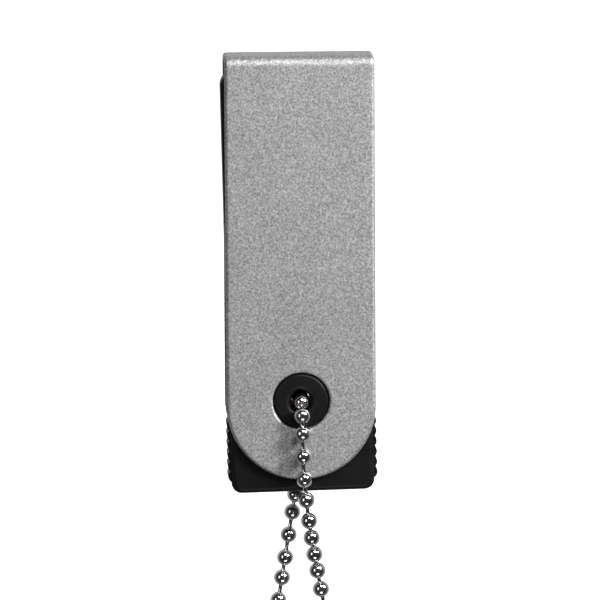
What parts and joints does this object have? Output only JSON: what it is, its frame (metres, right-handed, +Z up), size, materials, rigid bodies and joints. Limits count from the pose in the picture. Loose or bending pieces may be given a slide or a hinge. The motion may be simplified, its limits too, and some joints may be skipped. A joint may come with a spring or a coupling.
{
  "type": "usb flash drive",
  "caption": "Slim USB flash drive: black ribbed slab with a half-height plug, a folded metal cover that swivels on its bosses, and a ball chain loop.",
  "frame": {"origin": "on the axis of the two bosses that the cover turns on, at mid-thickness of the drive; this is where finger and thumb hold it", "axes": "+Z up towards the plug's tip and the cover's closed end, -Y towards the front leaf and the side with the contacts, +X to the right seen from the front"},
  "size_m": [0.0131, 0.008, 0.0751],
  "materials": {
    "black_plastic": "fine satin mould finish",
    "solder_mask": "green solder mask over glass epoxy",
    "gold_contact": "gold plated",
    "chip_resin": "moulded epoxy",
    "resistor_glaze": "black glaze",
    "capacitor_ceramic": "fired ceramic",
    "ferrite": "ferrite",
    "solder": "tin",
    "crystal_can": "plain can",
    "blasted_metal": "bead blasted, fine grain",
    "nickel_chain": "polished nickel plate"
  },
  "bodies": {
    "drive": {"front_housing": "black_plastic", "rear_housing": "black_plastic", "circuit_board": "solder_mask", "contact_vbus": "gold_contact", "contact_data_minus": "gold_contact", "contact_data_plus": "gold_contact", "contact_ground": "gold_contact", "memory_chip": "chip_resin", "controller_chip": "chip_resin", "esd_diodes": "chip_resin", "voltage_regulator": "chip_resin", "resistors": "resistor_glaze", "decoupling_capacitors": "capacitor_ceramic", "ferrite_bead": "ferrite", "memory_solder_balls": "solder", "controller_leads": "solder", "crystal_oscillator": "crystal_can", "ball_chain": "nickel_chain", "chain_clasp": "nickel_chain"},
    "cover": {"swivel_cover": "blasted_metal"}
  },
  "joints": [
    {"name": "cover_swivel", "type": "hinge", "parent": "drive", "child": "cover", "pos_m": [0, 0, 0], "axis": [0, 1, 0], "continuous": true}
  ]
}
